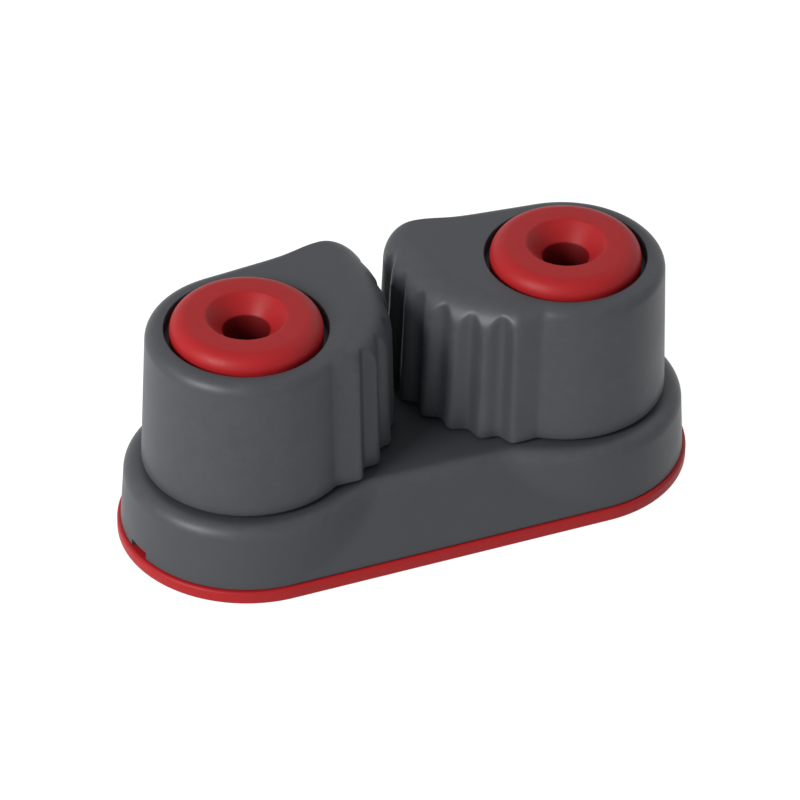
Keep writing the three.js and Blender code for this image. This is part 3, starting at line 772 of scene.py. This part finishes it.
class CLEAT_OT_plate(bpy.types.Operator):
    """Build the backing plate with its rounded edges, screw holes and pegs"""

    bl_idname = "cleat.plate"
    bl_label = "Backing plate"

    def execute(self, context):
        s = context.scene.cleat_plate
        low, high, radius = PLATE_LOW[2], BASE_LOW[2], PLATE_HIGH[1]
        rim = path_of(arc(radius - s.edge, low + s.edge, s.edge, -90, 0, 6),
                      arc(radius - s.edge, high - s.edge, s.edge, 0, 90, 6))
        flat_rows = 5
        shares = np.linspace(0, 1, flat_rows + 1)[:-1]
        rows = [level(on_spine(track(rim[0, 0], rim[0, 0], 0), share), low) for share in shares]
        rows += [level(track(r, r, 0), z) for r, z in rim]
        shares = np.linspace(1, 0, flat_rows + 1)[1:]
        rows += [level(on_spine(track(rim[-1, 0], rim[-1, 0], 0), share), high) for share in shares]
        mask = np.r_[np.zeros(flat_rows), np.full(len(rim), 0.5), np.zeros(flat_rows)][:, None]
        mesh = mesh_from_grid("bottom_plate_body", np.array(rows), False, mask)
        close_and_face_out(mesh)
        piece = new_piece("backing_plate", mesh, red_finish())
        pegs = []
        for way in (-1, 1):
            peg = turned(path_of((0, low + s.edge), (s.peg_radius, low + s.edge),
                                 arc(s.peg_radius - s.edge, PLATE_HIGH[2] - s.edge, s.edge, 0, 90, 5),
                                 (0, PLATE_HIGH[2])), 40)
            pegs.append(mesh_from_grid("peg", peg + np.array([0, way * s.peg_offset, 0])))
        cut_or_join(piece, pegs, "UNION")
        hole = drill(s.hole_radius, low - MM, high + MM, 64)
        cut_or_join(piece, [mesh_from_grid("screw_hole", mirrored(hole, side)) for side in SIDES])
        close_and_face_out(piece.data)
        seat(piece, "base", "bottom_plate")
        return {"FINISHED"}


# ---- Posts, springs and balls ------------------------------------------------------------


def ball_rows():
    """Each row's height, and the radius of its circle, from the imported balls."""
    heights = {}
    for row in ROWS:
        low, high = box_of(f"left_ball_{row}_01")
        heights[row] = float(low[2] + high[2]) / 2
    low, high = box_of("left_ball_lower_01")
    centre = (low + high) / 2
    return heights, float(math.hypot(centre[0] + PIVOT_X, centre[1])), float(high[2] - low[2]) / 2


def post_profile(s):
    """Half the post's section, closed: up the sleeve and shaft with a round groove for each row of
    balls, round the flange, down the countersink and back down the screw hole."""
    foot, top, seat_height = POST_LOW[2], POST_HIGH[2], BASE_HIGH[2]
    flange = (POST_HIGH[0] - POST_LOW[0]) / 2
    under = top - s.flange_thickness
    heights, pitch, _ = ball_rows()
    opening = math.degrees(math.acos((s.shaft_radius - pitch) / s.groove_radius))
    soft = 0.25 * MM
    grooves = [arc(pitch, heights[row], s.groove_radius, -opening, -360 + opening, 20) for row in ROWS]
    sink = s.sink_radius - s.hole_radius
    rim = s.rim_round
    return path_of(
        (s.hole_radius + 0.2 * MM, foot), (s.lip_radius - 0.3 * MM, foot),
        (s.lip_radius, foot + s.lip_height), (s.sleeve_radius, foot + s.lip_height),
        (s.sleeve_radius, seat_height), (s.shaft_radius, seat_height),
        *grooves,
        (s.shaft_radius, under), arc(flange - soft, under + soft, soft, -90, 0, 4),
        arc(flange - s.flange_edge, top - s.flange_edge, s.flange_edge, 0, 90, 20),
        arc(s.sink_radius + rim * math.tan(math.radians(22.5)), top - rim, rim, 90, 135, 8),
        (s.hole_radius + 0.12 * MM, top - sink + 0.12 * MM),
        (s.hole_radius, top - sink - 0.12 * MM),
        (s.hole_radius, (top + foot) / 2),
        (s.hole_radius, foot + 0.2 * MM),
    )


POST_SIDES = 160


class CLEAT_OT_posts(bpy.types.Operator):
    """Build both flanged posts with their countersinks and ball grooves"""

    bl_idname = "cleat.posts"
    bl_label = "Posts"

    def execute(self, context):
        profile = post_profile(context.scene.cleat_post)
        top = POST_HIGH[2] - context.scene.cleat_post.flange_edge
        worn = (profile[:, 1] > top) * 0.6
        hole = context.scene.cleat_post.hole_radius
        # Painted shade down the screw hole: 1 on the hole's wall, where the finish darkens the colour.
        painted_hole_shade = smoothstep(hole + 0.15 * MM - profile[:, 0], 0, 0.2 * MM)
        points = turned(profile, POST_SIDES)
        for side in SIDES:
            mesh = mesh_from_grid(f"{side}_post_body", mirrored(points, side), True, worn[:, None])
            shade = mesh.attributes.new("painted_hole_shade", "FLOAT", "POINT")
            shade.data.foreach_set("value", np.repeat(painted_hole_shade, POST_SIDES).astype(np.float32))
            close_and_face_out(mesh)
            piece = new_piece(f"{side}_flanged_post", mesh, red_finish())
            seat(piece, "base", f"{side}_post")
        return {"FINISHED"}


def wire_line(s, leg_top):
    """The left spring's centre line about its pivot: out along the hook, round the coil as it
    rises, and up the leg, with each corner softened by averaging along the line."""
    start_angle = -s.spring_turns * 2 * np.pi
    low = BASE_LOW[2] + 0.3 * MM + s.wire_radius
    high = low + s.spring_turns * s.spring_pitch
    reach = np.linspace(s.hook_length, 0, 30)[:-1]
    hook = np.stack([s.spring_radius + reach, start_angle + 0 * reach, low + 0 * reach], 1)
    t = np.linspace(0, 1, 400)
    coil = np.stack([s.spring_radius + 0 * t, start_angle * (1 - t), low + (high - low) * t], 1)
    rise = np.linspace(high, leg_top, 60)[1:]
    leg = np.stack([s.spring_radius + 0 * rise, 0 * rise, rise], 1)
    polar = np.concatenate([hook, coil, leg])
    line = np.stack([polar[:, 0] * np.cos(polar[:, 1]), polar[:, 0] * np.sin(polar[:, 1]), polar[:, 2]], 1)
    run = np.concatenate([[0], np.cumsum(np.linalg.norm(np.diff(line, axis=0), axis=1))])
    even = np.linspace(0, run[-1], 700)
    line = np.stack([np.interp(even, run, line[:, k]) for k in range(3)], 1)
    for _ in range(12):
        line[1:-1] = (line[:-2] + 2 * line[1:-1] + line[2:]) / 4
    return line, low, high


def tube(line, radius, sides=16):
    """A round wire: each point of the line carries a circle square to the line. The circle's first
    direction is upright along the hook and coil, and turns to point out from the pivot up the leg."""
    ahead = np.gradient(line, axis=0)
    ahead /= np.linalg.norm(ahead, axis=1, keepdims=True)
    out = line * np.array([1, 1, 0])
    out /= np.linalg.norm(out, axis=1, keepdims=True)
    lean = smoothstep(np.arange(len(line)) / len(line), 0.5, 0.7)[:, None]
    first = (1 - lean) * np.array([0, 0, 1]) + lean * out
    first -= (first * ahead).sum(1, keepdims=True) * ahead
    first /= np.linalg.norm(first, axis=1, keepdims=True)
    second = np.cross(ahead, first)
    a = np.arange(sides) / sides * 2 * np.pi
    ring = first[:, None] * np.cos(a)[:, None] + second[:, None] * np.sin(a)[:, None]
    skin = line[:, None] + radius * ring
    ends = [line[k] + 0 * ring[k] for k in (0, -1)]
    return np.concatenate([ends[0][None], skin, ends[1][None]])


class CLEAT_OT_springs(bpy.types.Operator):
    """Build both torsion springs, which wind up between the base and the cams"""

    bl_idname = "cleat.springs"
    bl_label = "Springs"

    def execute(self, context):
        s = context.scene.cleat_bearing
        leg_top = box_of("left_spring")[1][2]
        line, low, high = wire_line(s, leg_top)
        points = tube(line, s.wire_radius)
        for side in SIDES:
            mesh = mesh_from_grid(f"{side}_spring_body", mirrored(points, side))
            close_and_face_out(mesh, 60)
            piece = new_piece(f"{side}_torsion_spring", mesh, steel_finish())
            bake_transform(piece)
            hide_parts(f"{side}_spring")
        return {"FINISHED"}


class CLEAT_OT_balls(bpy.types.Operator):
    """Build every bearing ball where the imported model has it"""

    bl_idname = "cleat.balls"
    bl_label = "Bearing balls"

    def execute(self, context):
        _, _, radius = ball_rows()
        lift = np.radians(np.linspace(-90, 90, 13))
        ball = turned(np.stack([radius * np.cos(lift), radius * np.sin(lift)], 1), 24)
        for node_name in sorted(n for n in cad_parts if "_ball_" in n):
            side = node_name.split("_")[0]
            low, high = box_of(node_name)
            mesh = mesh_from_grid(f"{node_name}_body", ball + (low + high) / 2)
            close_and_face_out(mesh, 60)
            piece = new_piece(node_name.replace("ball", "bearing_ball"), mesh, ball_finish())
            seat(piece, f"{side}_bearing", node_name)
        return {"FINISHED"}


# ---- Stage -------------------------------------------------------------------------------

FLOOR_HALF = 3.0
FLOOR_WHITENESS = 0.78
FLOOR_GLOW = 1.2
WORLD_STRENGTH = 0.42
LAMPS = {
    "key_lamp": ((-0.6, -0.22, 0.36), 0.26, 5.0),
    "fill_lamp": ((0.5, 0.1, 0.45), 0.5, 0.4),
}
LAMP_TARGET = (0, 0, 0.015)
CAMERA_AZIMUTH = math.radians(-22.98)
CAMERA_ELEVATION = math.radians(36.96)
CAMERA_ROLL = math.radians(1.03)
CAMERA_DISTANCE = 0.6149
CAMERA_LENS = 247.8
CAMERA_SENSOR = 36
CAMERA_TARGET = Vector((0, 0, 0.012))
CAMERA_OFFSET = (0.617 * MM, -0.05 * MM)


def aim_camera():
    """A long lens in front, to the left and above, turned a little about its own line of sight."""
    a, e, r = CAMERA_AZIMUTH, CAMERA_ELEVATION, CAMERA_ROLL
    back = Vector((math.sin(a) * math.cos(e), -math.cos(a) * math.cos(e), math.sin(e)))
    right = Vector((math.cos(a), math.sin(a), 0))
    up = back.cross(right)
    across = math.cos(r) * right + math.sin(r) * up
    upward = -math.sin(r) * right + math.cos(r) * up
    data = bpy.data.cameras.new("studio_camera")
    data.lens = CAMERA_LENS
    data.sensor_width = CAMERA_SENSOR
    camera = bpy.data.objects.new("studio_camera", data)
    bpy.context.scene.collection.objects.link(camera)
    shift = CAMERA_OFFSET[0] * across + CAMERA_OFFSET[1] * upward
    place = CAMERA_TARGET - shift + CAMERA_DISTANCE * back
    camera.matrix_world = Matrix.Translation(place) @ Matrix((across, upward, back)).transposed().to_4x4()
    data.clip_start, data.clip_end = 0.01, 20
    bpy.context.scene.camera = camera


def soft_lamp(name, place, target, size, watts):
    """A square area lamp that looks at a point."""
    data = bpy.data.lights.new(name, "AREA")
    data.shape = "SQUARE"
    data.size = size
    data.energy = watts
    lamp = bpy.data.objects.new(name, data)
    bpy.context.scene.collection.objects.link(lamp)
    turn = (Vector(place) - Vector(target)).to_track_quat("Z", "Y").to_matrix().to_4x4()
    lamp.matrix_world = Matrix.Translation(place) @ turn


def seen_directly(tree):
    """1 for a ray from the camera or off a shiny surface, 0 for light on its way to the object."""
    rays = node(tree, "ShaderNodeLightPath")
    shiny = node(tree, "ShaderNodeMath",
                 {0: rays.outputs["Is Glossy Ray"], 1: rays.outputs["Is Transmission Ray"]}, operation="MAXIMUM")
    return node(tree, "ShaderNodeMath",
                {0: rays.outputs["Is Camera Ray"], 1: shiny.outputs[0]}, operation="MAXIMUM")


def floor_material(tint):
    """Pale ground, mostly plain white to the eye, that still takes a faint soft shadow."""
    material, tree, shader = plain_material("studio_floor")
    shader.inputs["Base Color"].default_value = (*tint, 1)
    shader.inputs["Roughness"].default_value = 0.9
    shader.inputs["Specular IOR Level"].default_value = 0.2
    seen = seen_directly(tree)
    share = node(tree, "ShaderNodeMath", {0: seen.outputs[0], 1: FLOOR_WHITENESS}, operation="MULTIPLY")
    white = node(tree, "ShaderNodeEmission", {"Color": (1, 1, 1, 1), "Strength": FLOOR_GLOW})
    mixed = node(tree, "ShaderNodeMixShader", {0: share.outputs[0], 1: shader.outputs[0], 2: white.outputs[0]})
    tree.links.new(mixed.outputs[0], tree.nodes["Material Output"].inputs["Surface"])
    return material


def studio_world():
    """Even light from all round, behind a plain white backdrop."""
    world = bpy.data.worlds.new("studio_world")
    world.use_nodes = True
    tree = world.node_tree
    light = tree.nodes["Background"]
    light.inputs["Color"].default_value = (1, 1, 1, 1)
    light.inputs["Strength"].default_value = WORLD_STRENGTH
    white = node(tree, "ShaderNodeBackground", {"Color": (1, 1, 1, 1), "Strength": 1.0})
    seen = seen_directly(tree)
    mixed = node(tree, "ShaderNodeMixShader", {0: seen.outputs[0], 1: light.outputs[0], 2: white.outputs[0]})
    tree.links.new(mixed.outputs[0], tree.nodes["World Output"].inputs["Surface"])
    return world


class CLEAT_OT_stage(bpy.types.Operator):
    """Set the pale floor, the soft studio light and the camera"""

    bl_idname = "cleat.stage"
    bl_label = "Stage"

    def execute(self, context):
        scene = context.scene
        scene.view_settings.view_transform = "Standard"
        corners = np.array([[-1, -1, 0], [1, -1, 0], [1, 1, 0], [-1, 1, 0]])
        mesh = bpy.data.meshes.new("studio_floor")
        mesh.from_pydata((FLOOR_HALF * corners).tolist(), [], [(0, 1, 2, 3)])
        floor = new_piece("studio_floor", mesh, floor_material(scene.cleat_finishes.floor))
        scene.world = studio_world()
        for name, (place, size, watts) in LAMPS.items():
            soft_lamp(name, place, LAMP_TARGET, size, watts)
        aim_camera()
        return {"FINISHED"}


# ---- Add-on ------------------------------------------------------------------------------


class CLEAT_PT_panel(bpy.types.Panel):
    """Lists the cleat's operators and sizes"""

    bl_idname = "CLEAT_PT_panel"
    bl_label = "Cam cleat"
    bl_space_type = "VIEW_3D"
    bl_region_type = "UI"
    bl_category = "Cleat"

    def draw(self, context):
        for operator in OPERATORS:
            self.layout.operator(operator.bl_idname)
        for name, group in PROPERTIES.items():
            box = self.layout.box()
            box.label(text=name.replace("_", " ").capitalize())
            for key in group.__annotations__:
                box.prop(getattr(context.scene, name), key)


OPERATORS = (CLEAT_OT_plate, CLEAT_OT_base, CLEAT_OT_posts, CLEAT_OT_balls, CLEAT_OT_springs, CLEAT_OT_cams,
             CLEAT_OT_stage)
PROPERTIES = {
    "cleat_cam": CleatCamSizes,
    "cleat_base": CleatBaseSizes,
    "cleat_plate": CleatPlateSizes,
    "cleat_post": CleatPostSizes,
    "cleat_bearing": CleatBearingSizes,
    "cleat_finishes": CleatFinishes,
}


def register():
    for group in PROPERTIES.values():
        bpy.utils.register_class(group)
    for name, group in PROPERTIES.items():
        setattr(bpy.types.Scene, name, PointerProperty(type=group))
    for operator in OPERATORS:
        bpy.utils.register_class(operator)
    bpy.utils.register_class(CLEAT_PT_panel)


def unregister():
    bpy.utils.unregister_class(CLEAT_PT_panel)
    for operator in reversed(OPERATORS):
        bpy.utils.unregister_class(operator)
    for name in PROPERTIES:
        delattr(bpy.types.Scene, name)
    for group in reversed(list(PROPERTIES.values())):
        bpy.utils.unregister_class(group)


def main():
    """Registers the add-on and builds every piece."""
    register()
    for operator in OPERATORS:
        family, name = operator.bl_idname.split(".")
        getattr(getattr(bpy.ops, family), name)()


if __name__ == "__main__":
    main()
